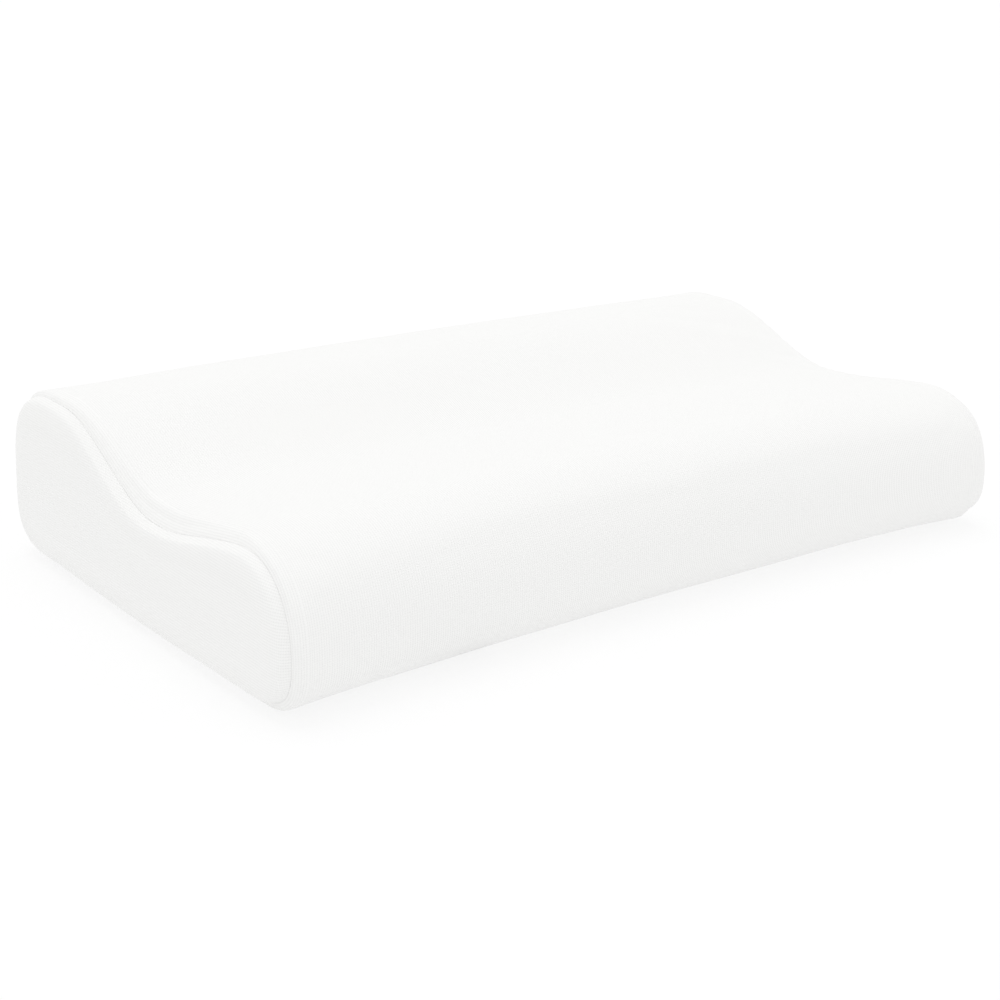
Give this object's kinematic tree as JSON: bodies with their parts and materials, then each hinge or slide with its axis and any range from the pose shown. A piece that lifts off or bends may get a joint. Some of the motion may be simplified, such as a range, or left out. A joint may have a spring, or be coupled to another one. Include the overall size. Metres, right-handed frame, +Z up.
{
  "type": "contour memory foam pillow",
  "caption": "Wave-shaped memory foam pillow with a high lobe, a trough and a low neck lobe, in a smooth knitted cover with sewn-in end panels.",
  "frame": {"origin": "on the surface that the pillow rests on, under the middle of its length and depth", "axes": "+X along the pillow's length, towards its right end panel; +Y from the low neck lobe to the high lobe; +Z up"},
  "size_m": [0.6, 0.3468, 0.1196],
  "materials": {
    "knit_cover": "matte smooth knit"
  },
  "bodies": {
    "root": {"pillow_body": "knit_cover", "end_panel_left": "knit_cover", "end_panel_right": "knit_cover"}
  },
  "joints": []
}
